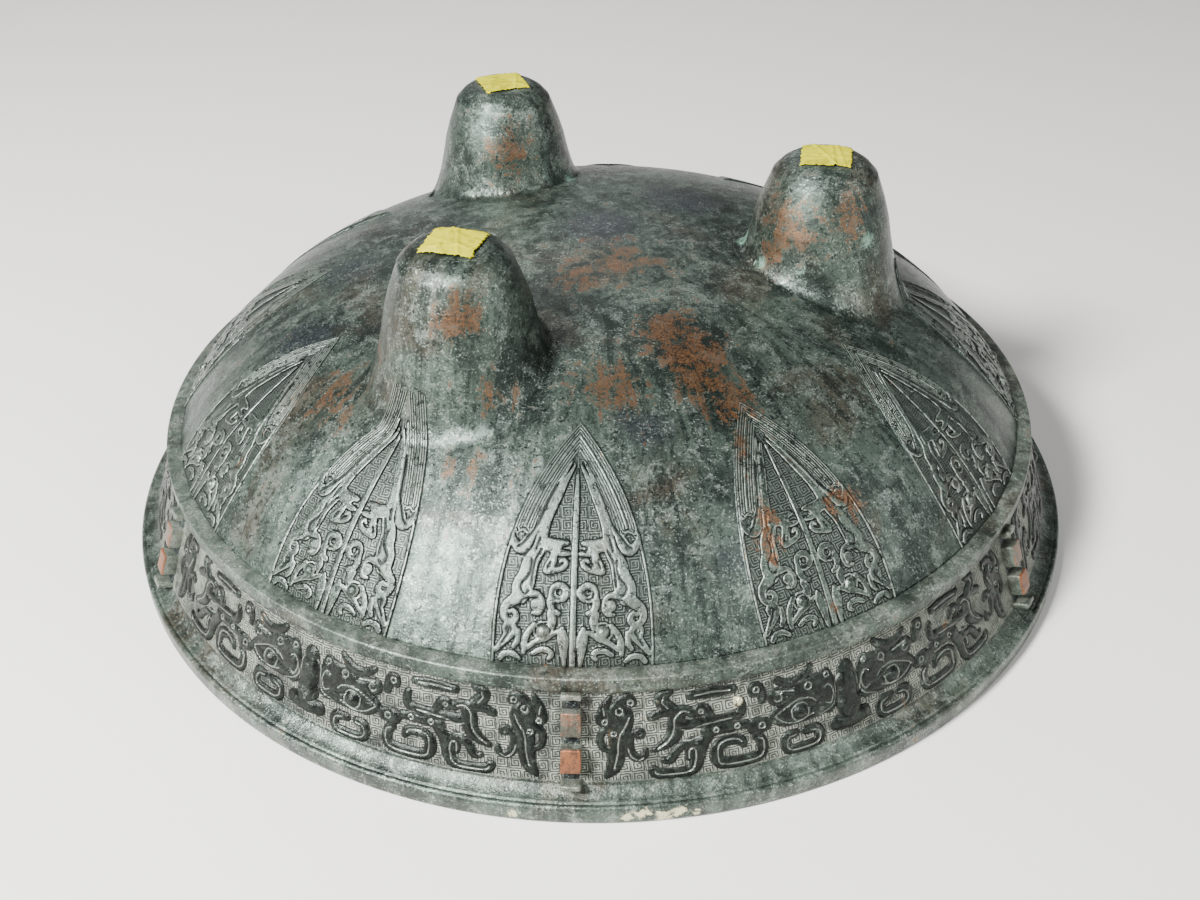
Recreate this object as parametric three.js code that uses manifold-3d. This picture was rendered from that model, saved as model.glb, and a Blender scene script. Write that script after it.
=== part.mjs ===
// A shallow bronze ding, shown the way it is stored: mouth down on its rim, three short legs up.
// Millimetres, +Z up. The origin is on the floor, in the middle of the rim.
// Azimuth is measured around +Z from -Y, which is the front, towards +X.
import * as THREE from "three";
import { mergeVertices } from "three/addons/utils/BufferGeometryUtils.js";
import Module from "manifold-3d";

const wasm = await Module();
wasm.setup();

// Rim and wall
const rimRadius = 230;
const lipWidth = 16.5; // flat face of the rim that meets the floor
const lipEdge = 8.5; // upright outer edge of the lip
const lipShelf = 10.2; // how far the lip stands out from the foot of the frieze
const lipRise = 3.7; // the top of the lip climbs this much towards the frieze
const wall = 5.5;

// Frieze belt, its ridge and the bowl above it
const friezeHeight = 36.8;
const friezeLean = 13.5; // the belt leans in by this much over its height
const ridgeHeight = 7.4;
const ridgeStand = 2.6; // the ridge stands out from the top of the frieze
const ridgeFace = [0.25, 0.7]; // its upright face, from and to as shares of its height
const bowlRise = 79.9; // from the ridge to the crown
const bowlSetback = 3.8; // the bowl starts this far in from the top of the frieze
const bowlLean = 33.2; // degrees off upright where the bowl leaves the ridge
const shoulderPull = 0.476; // handle of the bowl's curve at the ridge, as a share of its rise
const crownPull = 0.668; // handle at the crown, as a share of the bowl's radius

// Legs
const legCount = 3;
const legPitch = 103; // radius of the circle that the legs stand on
const legTurn = -30; // azimuth of the first leg, in degrees
const legAbove = 39.5; // from the crown to the flat tip
const tipRadius = 14;
const legRadius = 33; // at the root, above the fillet
const filletHeight = 14;
const filletReach = 18;

// Cast ornament
const flangeCount = 6;
const flangeThickness = 8;
const flangeFoot = 8; // stand-out beside the lip
const flangeHead = 6; // stand-out beside the ridge
const flangeNotch = 4.8;
const flangeHalfBlock = 2.4;
const notchFloor = 1.8; // what is left of the flange in a notch
const bladeCount = 12;
const bladeWidth = 62;
const bladeLength = 98.7;
const bladeFullness = 2.25; // higher keeps the blade wide further up
const bladeBorder = 7; // width of the border from mid length to the tip
const bladeBorderBase = 0.2; // share of that width at the base
const bladeBorderFull = 0.5; // share of the length at which it has its full width
const bladeFieldLeast = 0.4; // the field keeps this share of the half width
const bladeFigureMost = 0.95; // the figure ends within this share of the field
const bladeRib = 0.9; // half the width of the middle rib
const bladeRibMost = 0.3; // and never more than this share of the field
const bladeField = 0.5; // the sunk field of a blade, over the bowl
const reliefRise = 1.3;
const bossRise = 2.8;
const bossFoot = 1.25; // width of a boss at its root and at its top, as shares of the eye
const bossTop = 0.6;

// Tape squares stuck on the leg tips
const padSide = 22;
const padThickness = 1.2;
const padGap = 0.3;
const padTurns = [-12.4, -6.9, 22.4]; // degrees, as each square was stuck on

// Fineness of the faceted solid
const bodySides = 36;
const legSides = 10;
const bowlRings = 6;
const cavityRings = 5;
const bossSides = 6;
const root = 3; // how far ornament is let into the metal that carries it

// Levels and radii that follow
const degree = Math.PI / 180;
const friezeFootRadius = rimRadius - lipShelf;
const friezeFootZ = lipEdge + lipRise;
const friezeTopRadius = friezeFootRadius - friezeLean;
const friezeTopZ = friezeFootZ + friezeHeight;
const friezeSlant = Math.hypot(friezeLean, friezeHeight);
const friezeMiddleRadius = (friezeFootRadius + friezeTopRadius) / 2;
const halfPanel = Math.PI / flangeCount; // azimuth from the middle of a panel to a flange
const bowlRadius = friezeTopRadius - bowlSetback;
const bowlZ = friezeTopZ + ridgeHeight;
const crownZ = bowlZ + bowlRise;
const tipZ = crownZ + legAbove;
const mouthRadius = rimRadius - lipWidth;

// The bowl's outside runs as one curve from the ridge to the crown.
const shoulder = bowlRise * shoulderPull;
const bowlCurve = new THREE.CubicBezierCurve(
  new THREE.Vector2(bowlRadius, bowlZ),
  new THREE.Vector2(
    bowlRadius - shoulder * Math.sin(bowlLean * degree),
    bowlZ + shoulder * Math.cos(bowlLean * degree),
  ),
  new THREE.Vector2(bowlRadius * crownPull, crownZ),
  new THREE.Vector2(0, crownZ),
);

// Outward normal of a curve that climbs inwards, from its tangent.
function outward(tangent) {
  return new THREE.Vector2(tangent.y, -tangent.x);
}

// Height of the bowl's outside over a point that is a given distance from the axis.
function bowlHeightAt(radius) {
  let low = 0;
  let high = 1;
  for (let step = 0; step < 24; step++) {
    const middle = (low + high) / 2;
    if (bowlCurve.getPoint(middle).x > radius) low = middle;
    else high = middle;
  }
  return bowlCurve.getPoint(low).y;
}

function placeAround(radius, azimuth, z) {
  return new THREE.Vector3(radius * Math.sin(azimuth), -radius * Math.cos(azimuth), z);
}

// A closed geometry or list of corners and faces becomes a solid that can be joined and cut.
function solidFrom(geometry) {
  const bare = geometry.index ? geometry.toNonIndexed() : geometry.clone();
  bare.deleteAttribute("normal");
  bare.deleteAttribute("uv");
  const merged = mergeVertices(bare, 1e-4);
  return new wasm.Manifold(
    new wasm.Mesh({
      numProp: 3,
      vertProperties: new Float32Array(merged.attributes.position.array),
      triVerts: new Uint32Array(merged.index.array),
    }),
  );
}

function geometryOf(solid) {
  const mesh = solid.getMesh();
  const geometry = new THREE.BufferGeometry();
  geometry.setAttribute("position", new THREE.BufferAttribute(mesh.vertProperties, 3));
  geometry.setIndex(new THREE.BufferAttribute(mesh.triVerts, 1));
  return geometry.toNonIndexed();
}

// Rings of equally many points, first ring to last, closed with a fan at either end.
function solidOfRings(rings) {
  const sides = rings[0].length;
  const points = rings.flat();
  const faces = [];
  for (let k = 0; k + 1 < rings.length; k++) {
    for (let i = 0; i < sides; i++) {
      const a = k * sides + i;
      const b = k * sides + ((i + 1) % sides);
      faces.push(a, b, a + sides, b, b + sides, a + sides);
    }
  }
  const last = (rings.length - 1) * sides;
  for (let i = 1; i + 1 < sides; i++) {
    faces.push(0, i + 1, i);
    faces.push(last, last + i, last + i + 1);
  }
  const geometry = new THREE.BufferGeometry().setFromPoints(points);
  geometry.setIndex(faces);
  return solidFrom(geometry);
}

// A profile of [radius, z] that starts and ends on the axis, turned about it.
function turned(profile, sides) {
  const lathe = new THREE.LatheGeometry(
    profile.map(([radius, z]) => new THREE.Vector2(radius, z)),
    sides,
  );
  lathe.rotateX(Math.PI / 2);
  return solidFrom(lathe);
}

function bowlOutside() {
  const profile = [
    [0, 0],
    [rimRadius, 0],
    [rimRadius, lipEdge],
    [friezeFootRadius, friezeFootZ],
    [friezeTopRadius, friezeTopZ],
    ...ridgeFace.map((share) => [friezeTopRadius + ridgeStand, friezeTopZ + ridgeHeight * share]),
  ];
  for (let k = 0; k <= bowlRings; k++) {
    const at = bowlCurve.getPoint(k / bowlRings);
    profile.push([k === bowlRings ? 0 : at.x, at.y]);
  }
  return turned(profile, bodySides);
}

function bowlCavity() {
  const lean = friezeLean / friezeHeight;
  const profile = [
    [0, -root],
    [mouthRadius, -root],
    [mouthRadius, lipEdge],
    [friezeTopRadius - wall, friezeTopZ - lean * wall],
  ];
  for (let k = 0; k <= cavityRings; k++) {
    const share = k / cavityRings;
    const at = bowlCurve.getPoint(share);
    const away = outward(bowlCurve.getTangent(share)).multiplyScalar(wall);
    profile.push([k === cavityRings ? 0 : at.x - away.x, at.y - away.y]);
  }
  return turned(profile, bodySides);
}

// One leg: a blunt stub that narrows to a flat tip and spreads into the bowl by a fillet.
function leg(turn) {
  const axis = placeAround(legPitch, turn, 0);
  // Each row is [share of the root radius, depth under the tip as a share of what stands clear].
  const stub = [
    [tipRadius / legRadius, 0],
    [0.61, 0.1],
    [0.75, 0.25],
    [0.9, 0.6],
  ];
  // Each row is [share of the fillet's reach, share of its height over the bowl].
  const fillet = [
    [0, 1],
    [0.16, 0.36],
    [1, -0.05],
  ];
  const rings = [];
  const ringAt = (reach, heightOver) => {
    const ring = [];
    for (let i = 0; i < legSides; i++) {
      const angle = (2 * Math.PI * i) / legSides;
      const x = axis.x + reach * Math.cos(angle);
      const y = axis.y + reach * Math.sin(angle);
      ring.push(new THREE.Vector3(x, y, heightOver(bowlHeightAt(Math.hypot(x, y)))));
    }
    rings.push(ring);
  };
  for (const [share, depth] of stub) ringAt(legRadius * share, () => tipZ - legAbove * depth);
  for (const [reach, height] of fillet) {
    ringAt(legRadius + filletReach * reach, (below) => below + filletHeight * height);
  }
  ringAt(legRadius + filletReach, (below) => below - root);
  rings.reverse();
  return solidOfRings(rings);
}

// Grounds that carry ornament: a point across and along the ground, and its height over it.
function friezeGround(centre) {
  const outX = friezeHeight / friezeSlant;
  const outZ = friezeLean / friezeSlant;
  return (across, along, rise) => {
    const share = along / friezeSlant;
    const radius = friezeFootRadius - friezeLean * share + outX * rise;
    const z = friezeFootZ + friezeHeight * share + outZ * rise;
    return placeAround(radius, centre + across / friezeMiddleRadius, z);
  };
}

function bladeGround(centre) {
  return (across, along, rise) => {
    const share = bowlCurve.getUtoTmapping(0, along);
    const at = bowlCurve.getPoint(share);
    const away = outward(bowlCurve.getTangent(share));
    const radius = at.x + away.x * rise;
    return placeAround(radius, centre + across / at.x, at.y + away.y * rise);
  };
}

// A raised outline: its sides stand parallel, square to the ground at its middle, so they are flat.
function raised(ground, outline, rise) {
  const middle = [0, 1].map((k) => outline.reduce((sum, at) => sum + at[k], 0) / outline.length);
  const lift = ground(...middle, 1).sub(ground(...middle, 0));
  return [-root, rise].map((height) =>
    outline.map(([across, along]) => ground(across, along, 0).addScaledVector(lift, height)),
  );
}

// A raised line: [across, along, width] points, joined square across their turning.
function stroke(ground, points, rise) {
  const sides = points.map(([across, along, width], i) => {
    const before = points[Math.max(i - 1, 0)];
    const after = points[Math.min(i + 1, points.length - 1)];
    const heading = Math.atan2(after[1] - before[1], after[0] - before[0]);
    const sideX = (-Math.sin(heading) * width) / 2;
    const sideY = (Math.cos(heading) * width) / 2;
    return [
      [across + sideX, along + sideY],
      [across - sideX, along - sideY],
    ];
  });
  const [low, high] = raised(ground, sides.flat(), rise);
  const rings = points.map((_, i) => [low[2 * i], high[2 * i], high[2 * i + 1], low[2 * i + 1]]);
  return solidOfRings(rings);
}

// A raised eye: a six-sided boss that narrows to a flat top.
function boss(ground, across, along, radius, rise) {
  const rings = [
    [radius * bossFoot, -root],
    [radius * bossTop, rise],
  ].map(([reach, height]) => {
    const ring = [];
    for (let i = 0; i < bossSides; i++) {
      const angle = (2 * Math.PI * i) / bossSides;
      ring.push(ground(across + reach * Math.cos(angle), along + reach * Math.sin(angle), height));
    }
    return ring;
  });
  return solidOfRings(rings);
}

// The frieze is drawn on a grid of 54 by 20 squares for half a panel, from the nose to a flange.
const friezeSquaresAcross = 54;
const friezeSquaresAlong = 20;
const friezeStrokes = [
  // hanging dragon beside the flange, and the hook at its back
  [[49, 0.6, 1], [47.8, 9, 4.2], [44.6, 18, 2.6]],
  [[43.6, 10, 1.4], [44, 4, 1.6]],
  // crest, body and jaw of the walking dragon
  [[40.8, 4.8, 1.6], [40, 1.8, 1.7], [33, 1.8, 1.7], [32.4, 7, 1.6]],
  [[38, 17.8, 2], [38.6, 10.4, 2.8], [29.4, 9.3, 2.2], [21.4, 9.3, 2]],
  [[35.4, 14.2, 2], [23.2, 13.2, 2]],
  [[28, 6.6, 1.6], [27.4, 2, 1.7], [20.2, 2, 1.7], [19, 9, 1.6]],
  // horn and jaw of the mask
  [[13.8, 5.6, 1.4], [14.6, 2, 1.6], [7.2, 2, 1.6], [8.2, 5.6, 1.4]],
  [[17.6, 16.4, 2], [6.4, 15.4, 2.4]],
];
const noseStroke = [[0, 2, 7], [0, 5.6, 4.2], [0, 16.4, 3.8]];
const friezeEye = [10.8, 9.1, 1.7];

function friezePanel(centre) {
  const squareAcross = (friezeMiddleRadius * halfPanel - flangeThickness / 2) / friezeSquaresAcross;
  const squareAlong = friezeSlant / friezeSquaresAlong;
  const ground = friezeGround(centre);
  const scaled = (points, side) =>
    points.map(([x, y, width]) => [side * x * squareAcross, y * squareAlong, width * squareAlong]);
  const pieces = [stroke(ground, scaled(noseStroke, 1), reliefRise)];
  for (const side of [-1, 1]) {
    for (const points of friezeStrokes) pieces.push(stroke(ground, scaled(points, side), reliefRise));
    const [x, y, radius] = friezeEye;
    const eyeRadius = radius * squareAlong;
    pieces.push(boss(ground, side * x * squareAcross, y * squareAlong, eyeRadius, bossRise));
  }
  return pieces;
}

// Half the width of a blade, at a share of its length from the base.
function bladeHalfWidth(share) {
  return (bladeWidth / 2) * (1 - share ** bladeFullness);
}

// The figure on a blade, row by row from the base. Each row is the share of the blade's length,
// the middle and half width of the body as shares of the field, and how far the ground between
// body and rib swells, as an eye or a curl.
const bladeFigure = [
  [0, 0.6, 0.2, 0.2],
  [0.14, 0.68, 0.16, 1],
  [0.3, 0.82, 0.14, 0.5],
  [0.5, 0.7, 0.26, 0],
  [0.76, 0.5, 0.16, 0],
  [0.97, 0.5, 0.2, 0],
];

// A blade is a bent leaf: a rib, a figure on either side of it and a border, cast in one.
function blade(centre) {
  const ground = bladeGround(centre);
  const rings = bladeFigure.map(([share, middle, halfWidth, swell]) => {
    const half = bladeHalfWidth(share);
    const grown = share < bladeBorderFull ? bladeBorderBase + (1 - bladeBorderBase) * share : 1;
    const field = Math.max(half - bladeBorder * grown, half * bladeFieldLeast);
    const rib = Math.min(bladeRib, field * bladeRibMost);
    const inside = field * (middle - halfWidth);
    const outside = field * (middle + halfWidth);
    const row = [
      [rib, bladeField],
      [(rib + inside) / 2, bladeField + swell * (bossRise - bladeField)],
      [field * middle, reliefRise],
      [Math.min(outside, field * bladeFigureMost), bladeField],
      [field, reliefRise],
      [half, reliefRise],
      [half, -root],
    ];
    const left = row.map(([across, rise]) => [-across, rise]).reverse();
    const points = [...left, [0, reliefRise], ...row];
    return points.map(([across, rise]) => ground(across, share * bladeLength, rise));
  });
  return solidOfRings(rings);
}

// A flange is a notched plate that stands on the frieze, two whole blocks between two half ones.
function flange(turn) {
  const block = (friezeSlant - 2 * flangeHalfBlock - 3 * flangeNotch) / 2;
  const ground = friezeGround(0);
  const standOut = (along) => flangeFoot + ((flangeHead - flangeFoot) * along) / friezeSlant;
  const outline = [];
  const addPoint = (along, rise) => {
    const at = ground(0, along, rise);
    outline.push(new THREE.Vector2(-at.y, at.z));
  };
  addPoint(0, -root);
  let along = 0;
  for (const length of [flangeHalfBlock, block, block, flangeHalfBlock]) {
    if (along > 0) addPoint(along, notchFloor);
    addPoint(along, standOut(along));
    along += length;
    addPoint(along, standOut(along));
    if (along < friezeSlant) addPoint(along, notchFloor);
    along += flangeNotch;
  }
  addPoint(friezeSlant, -root);
  const plate = new THREE.ExtrudeGeometry(new THREE.Shape(outline), {
    depth: flangeThickness,
    bevelEnabled: false,
  });
  plate.translate(0, 0, -flangeThickness / 2);
  plate.rotateX(Math.PI / 2);
  plate.rotateZ(turn - Math.PI / 2);
  return solidFrom(plate);
}

// The same piece or pieces made again and again around the axis.
function around(count, first, make) {
  const made = [];
  for (let i = 0; i < count; i++) made.push(make(first + (2 * Math.PI * i) / count));
  return made.flat();
}

function vesselSolid() {
  const ornament = [
    ...around(legCount, legTurn * degree, leg),
    ...around(flangeCount, 0, flange),
    ...around(flangeCount, halfPanel, friezePanel),
    ...around(bladeCount, 0, blade),
  ];
  let solid = bowlOutside();
  for (const piece of ornament) solid = solid.add(piece);
  return solid.subtract(bowlCavity());
}

const bronze = new THREE.MeshStandardMaterial({
  name: "patinated cast bronze",
  color: 0x4e5c55,
  roughness: 0.55,
  metalness: 0.6,
});
const tape = new THREE.MeshStandardMaterial({
  name: "yellow cloth tape",
  color: 0xf6ee4a,
  roughness: 0.85,
  metalness: 0,
});

const ding = new THREE.Group();

const vessel = new THREE.Mesh(geometryOf(vesselSolid()), bronze);
vessel.name = "vessel";
ding.add(vessel);

for (let i = 0; i < legCount; i++) {
  const pad = new THREE.Mesh(new THREE.BoxGeometry(padSide, padSide, padThickness), tape.clone());
  pad.name = `leg_pad_${i + 1}`;
  pad.position.copy(placeAround(legPitch, legTurn * degree + (2 * Math.PI * i) / legCount, 0));
  pad.position.z = tipZ + padGap + padThickness / 2;
  pad.rotation.z = padTurns[i] * degree;
  ding.add(pad);
}

export default ding;
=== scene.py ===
import math

import bmesh
import bpy
import numpy as np
from mathutils import Matrix, Vector


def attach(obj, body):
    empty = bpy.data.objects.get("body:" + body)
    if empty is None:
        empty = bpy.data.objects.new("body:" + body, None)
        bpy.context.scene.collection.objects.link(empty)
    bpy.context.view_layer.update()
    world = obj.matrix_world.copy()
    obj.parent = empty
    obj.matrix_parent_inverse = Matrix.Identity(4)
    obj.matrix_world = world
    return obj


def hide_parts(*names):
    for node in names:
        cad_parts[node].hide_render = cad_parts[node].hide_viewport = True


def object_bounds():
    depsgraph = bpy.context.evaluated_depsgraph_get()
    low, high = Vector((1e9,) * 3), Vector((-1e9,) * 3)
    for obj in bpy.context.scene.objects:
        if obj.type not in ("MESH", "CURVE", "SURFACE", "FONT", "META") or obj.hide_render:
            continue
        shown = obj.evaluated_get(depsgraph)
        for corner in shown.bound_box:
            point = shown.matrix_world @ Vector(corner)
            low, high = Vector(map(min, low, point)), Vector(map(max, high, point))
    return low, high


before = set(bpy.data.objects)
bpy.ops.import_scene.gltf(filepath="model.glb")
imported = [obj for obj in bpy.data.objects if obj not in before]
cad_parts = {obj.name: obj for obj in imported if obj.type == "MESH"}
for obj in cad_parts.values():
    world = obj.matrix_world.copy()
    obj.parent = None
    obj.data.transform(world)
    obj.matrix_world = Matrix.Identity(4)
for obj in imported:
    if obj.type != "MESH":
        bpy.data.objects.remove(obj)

cadLow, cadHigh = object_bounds()
metre = 0.001  # everything below is in millimetres until a mesh is made

# The casting, mouth down on its rim. Azimuth runs around +Z from the front (-Y) towards +X.
vessel = {
    "rimRadius": (cadHigh.x - cadLow.x) / 2 / metre,
    "lipWidth": 16.5,
    "lipEdge": 8.5,
    "lipShelf": 10.2,
    "lipRise": 3.7,
    "wall": 5.5,
    "friezeHeight": 36.8,
    "friezeLean": 13.5,
    "ridgeHeight": 7.4,
    "ridgeStand": 2.8,
    "bowlRise": 79.9,
    "bowlSetback": 3.8,
    "bowlLean": 33.2,  # degrees off upright where the bowl leaves the ridge
    "shoulderPull": 0.476,
    "crownPull": 0.668,
    "ledge": [(0.9, -0.3), (0.75, 0.45), (0.4, 0.85), (-0.2, 0.95)],  # a thin line below the frieze
    "lipLine": [(-1.2, 8.62), (-1.9, 8.6), (-2.2, 8.2), (-2.7, 8.2), (-3, 8.7)],  # and one at the lip's edge
    "bodyUnder": 1.2,  # the plain body lies this far under the carved skins
    "bodySides": 540,
    "unevenness": 0.22,  # slow waves that a hand-made mould leaves
    "ridge": [(-0.6, -0.2), (2.1, 0), (2.6, 0.2), (2.85, 0.8), (2.9, 2.2), (2.9, 4), (2.9, 5.8), (2.8, 6.6),
              (2.5, 7), (1.9, 7.2), (0.4, 7.4), (-1.4, 7.6), (-3, 7.7), (-3.8, 7.3)],
    "lipPale": 0.2,
    "ridgePale": 0.35,
    "ridgeSlate": 0.1,
}
friezeFoot = Vector((vessel["rimRadius"] - vessel["lipShelf"], vessel["lipEdge"] + vessel["lipRise"]))
friezeTop = friezeFoot + Vector((-vessel["friezeLean"], vessel["friezeHeight"]))
friezeSlant = (friezeTop - friezeFoot).length
friezeMiddle = (friezeFoot.x + friezeTop.x) / 2
bowlRadius = friezeTop.x - vessel["bowlSetback"]
bowlFoot = friezeTop.y + vessel["ridgeHeight"]
crownHeight = bowlFoot + vessel["bowlRise"]

legs = {
    "count": 3,
    "pitch": 103,  # radius of the circle that they stand on
    "firstAzimuth": -30,
    "above": 39.5,  # from the crown to the flat tip
    # Radius by depth under the tip: a flat end, a round shoulder and sides that widen slowly.
    "radii": (0, 12, 14, 16.6, 20, 23.5, 28, 30.4, 33),
    "depths": (-0.6, -0.2, 0, 1.0, 3.2, 7, 19, 27, 40),
    "sideSlope": 5.4,
    "filletInside": 13,
    "filletOutside": 36,
    "patchReach": 40,
    "cutReach": 36.5,
    "sides": 96,
}
tipHeight = crownHeight + legs["above"]
legAzimuths = [math.radians(legs["firstAzimuth"] + 360 / legs["count"] * i) for i in range(legs["count"])]
legAxes = [(legs["pitch"] * math.sin(a), -legs["pitch"] * math.cos(a)) for a in legAzimuths]

# The bowl's outside is one curve from ridge to crown, kept by its length along the metal.
steps = np.linspace(0, 1, 2001)[:, None]
shoulder = vessel["bowlRise"] * vessel["shoulderPull"]
bowlLean = math.radians(vessel["bowlLean"])
pulls = [
    (bowlRadius, bowlFoot),
    (bowlRadius - shoulder * math.sin(bowlLean), bowlFoot + shoulder * math.cos(bowlLean)),
    (bowlRadius * vessel["crownPull"], crownHeight),
    (0, crownHeight),
]
weights = [(1 - steps) ** 3, 3 * steps * (1 - steps) ** 2, 3 * steps ** 2 * (1 - steps), steps ** 3]
bowlCurve = sum(weight * np.array(pull) for weight, pull in zip(weights, pulls))
bowlStep = np.gradient(bowlCurve, axis=0)
bowlStep /= np.linalg.norm(bowlStep, axis=1)[:, None]
bowlLength = np.concatenate([[0], np.cumsum(np.linalg.norm(np.diff(bowlCurve, axis=0), axis=1))])
bowlEnd = bowlLength[-1]


# Radius, height and outward normal of the bowl, by distance along it from the ridge.
def bowlAt(along):
    tracks = (bowlCurve[:, 0], bowlCurve[:, 1], bowlStep[:, 1], -bowlStep[:, 0])
    return [np.interp(along, bowlLength, track) for track in tracks]


def smoothStep(low, high, value):
    t = np.clip((value - low) / (high - low), 0, 1)
    return t * t * (3 - 2 * t)


# Height of the bowl with its legs over a point of the plan: each leg flows into the bowl by a fillet.
def surfaceHeight(x, y):
    height = np.interp(np.hypot(x, y), bowlCurve[::-1, 0], bowlCurve[::-1, 1])
    for axisX, axisY in legAxes:
        away = np.hypot(x - axisX, y - axisY)
        depth = np.interp(away, legs["radii"], legs["depths"])
        depth += np.maximum(away - legs["radii"][-1], 0) * legs["sideSlope"]
        top = tipHeight - depth
        outwards = ((x - axisX) * axisX + (y - axisY) * axisY) / legs["pitch"] / np.maximum(away, 1)
        middle = (legs["filletInside"] + legs["filletOutside"]) / 2
        blend = middle + (legs["filletOutside"] - legs["filletInside"]) / 2 * outwards
        mix = np.clip(0.5 + 0.5 * (top - height) / blend, 0, 1)
        height = height + mix * (top - height) + blend * mix * (1 - mix)
    return height


def surfaceNormal(x, y):
    step = 0.25
    slopeX = (surfaceHeight(x + step, y) - surfaceHeight(x - step, y)) / (2 * step)
    slopeY = (surfaceHeight(x, y + step) - surfaceHeight(x, y - step)) / (2 * step)
    normal = np.stack([-slopeX, -slopeY, np.ones_like(slopeX)], -1)
    return normal / np.linalg.norm(normal, axis=-1, keepdims=True)


# Slow waves through space, the same for every piece, so that neighbours stay together.
waveMaker = np.random.default_rng(7)
waveWays = waveMaker.normal(size=(14, 3)) / waveMaker.uniform(14, 60, (14, 1))
wavePhases = waveMaker.uniform(0, 2 * math.pi, 14)


def unevenness(points):
    return np.sin(points @ waveWays.T + wavePhases).mean(-1) * 2 * vessel["unevenness"]


# Points and outward normals over a frieze panel or a stretch of the bowl, before any relief.
def friezeGround(centre, across, along):
    azimuth = centre + across / friezeMiddle
    share = along / friezeSlant
    radius = friezeFoot.x - vessel["friezeLean"] * share
    outR, outZ = vessel["friezeHeight"] / friezeSlant, vessel["friezeLean"] / friezeSlant
    sine, cosine = np.sin(azimuth), np.cos(azimuth)
    points = np.stack([radius * sine, -radius * cosine, friezeFoot.y + vessel["friezeHeight"] * share], -1)
    normals = np.stack([outR * sine, -outR * cosine, outZ + 0 * sine], -1)
    return points, normals


def bowlGround(azimuth, along):
    radius, height, outR, outZ = bowlAt(along)
    sine, cosine = np.sin(azimuth), np.cos(azimuth)
    x, y = radius * sine, -radius * cosine
    lifted = surfaceHeight(x, y)
    rise = smoothStep(0.02, 2, lifted - height)[..., None]
    normals = np.stack([outR * sine, -outR * cosine, outZ + 0 * sine], -1)
    normals = normals * (1 - rise) + surfaceNormal(x, y) * rise
    return np.stack([x, y, np.maximum(lifted, height)], -1), normals


# A mesh from points in millimetres, faces by point number and named values at the points.
def makePiece(name, points, faces, values, material, node):
    mesh = bpy.data.meshes.new(name)
    mesh.from_pydata((points * metre).tolist(), [], faces)
    for label, numbers in values.items():
        numbers = np.asarray(numbers, np.float32)
        vector = numbers.ndim == 2
        layer = mesh.attributes.new(label, "FLOAT_VECTOR" if vector else "FLOAT", "POINT")
        layer.data.foreach_set("vector" if vector else "value", numbers.ravel())
    mesh.polygons.foreach_set("use_smooth", np.ones(len(mesh.polygons), bool))
    mesh.materials.append(material)
    mesh.validate()
    piece = bpy.data.objects.new(name, mesh)
    bpy.context.scene.collection.objects.link(piece)
    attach(piece, "root")
    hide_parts(node)
    return piece


# Faces over a grid of point numbers. Points that are one and the same give a triangle or nothing.
def gridFaces(numbers, skip=None):
    corners = (numbers[:-1, :-1], numbers[:-1, 1:], numbers[1:, 1:], numbers[1:, :-1])
    quads = np.stack(corners, -1).reshape(-1, 4)
    if skip is not None:
        quads = quads[~skip[quads].all(1)]
    faces = []
    for quad in quads.tolist():
        face = list(dict.fromkeys(quad))
        if len(face) > 2:
            faces.append(face)
    return faces


# A drawn line: a smooth curve through its points, its last column the width there.
def smoothLine(points, pieces=6):
    points = np.array(points, float)
    if len(points) < 3:
        return points
    ends = np.vstack([2 * points[0] - points[1], points, 2 * points[-1] - points[-2]])
    drawn = []
    for k in range(len(points) - 1):
        a, b, c, d = ends[k:k + 4]
        for t in np.arange(pieces) / pieces:
            turn = (2 * a - 5 * b + 4 * c - d) * t ** 2 + (3 * b - a - 3 * c + d) * t ** 3
            drawn.append(0.5 * (2 * b + (c - a) * t + turn))
    return np.array(drawn + [points[-1]])


# Distance from every place to a line, less half the line's own width there.
def distanceTo(line, across, along):
    line = np.array(line, float).reshape(-1, 3)
    if len(line) == 1:
        return np.hypot(across - line[0, 0], along - line[0, 1]) - line[0, 2] / 2
    nearest = np.full(across.shape, 1e3)
    for start, end in zip(line[:-1], line[1:]):
        way = end - start
        length = max(way[0] ** 2 + way[1] ** 2, 1e-9)
        t = np.clip(((across - start[0]) * way[0] + (along - start[1]) * way[1]) / length, 0, 1)
        reach = np.hypot(across - start[0] - t * way[0], along - start[1] - t * way[1])
        nearest = np.minimum(nearest, reach - (start[2] + t * way[2]) / 2)
    return nearest


def insideOf(lines, across, along, broad):
    inside = np.full(across.shape, -9.0)
    for line in lines:
        drawn = smoothLine(line) * (1, 1, broad)
        inside = np.maximum(inside, -distanceTo(drawn, across, along))
    return inside


def ring(x, y, radius, start=0, turn=360, width=0.0):
    angles = np.radians(start + np.linspace(0, turn, 9))
    return [(x + radius * math.cos(a), y + radius * math.sin(a), width) for a in angles]


# Materials
def fromHex(code):
    parts = [int(code[i:i + 2], 16) / 255 for i in (1, 3, 5)]
    return [c / 12.92 if c <= 0.04045 else ((c + 0.055) / 1.055) ** 2.4 for c in parts] + [1.0]


# Adds a node with its settings and its inputs, which are values or the outputs of other nodes.
def addNode(tree, kind, inputs=None, output=0, **settings):
    node = tree.nodes.new("ShaderNode" + kind)
    for label, value in settings.items():
        setattr(node, label, value)
    for label, value in (inputs or {}).items():
        if isinstance(value, bpy.types.NodeSocket):
            tree.links.new(value, node.inputs[label])
        else:
            node.inputs[label].default_value = value
    return node.outputs[output] if node.outputs else node


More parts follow.
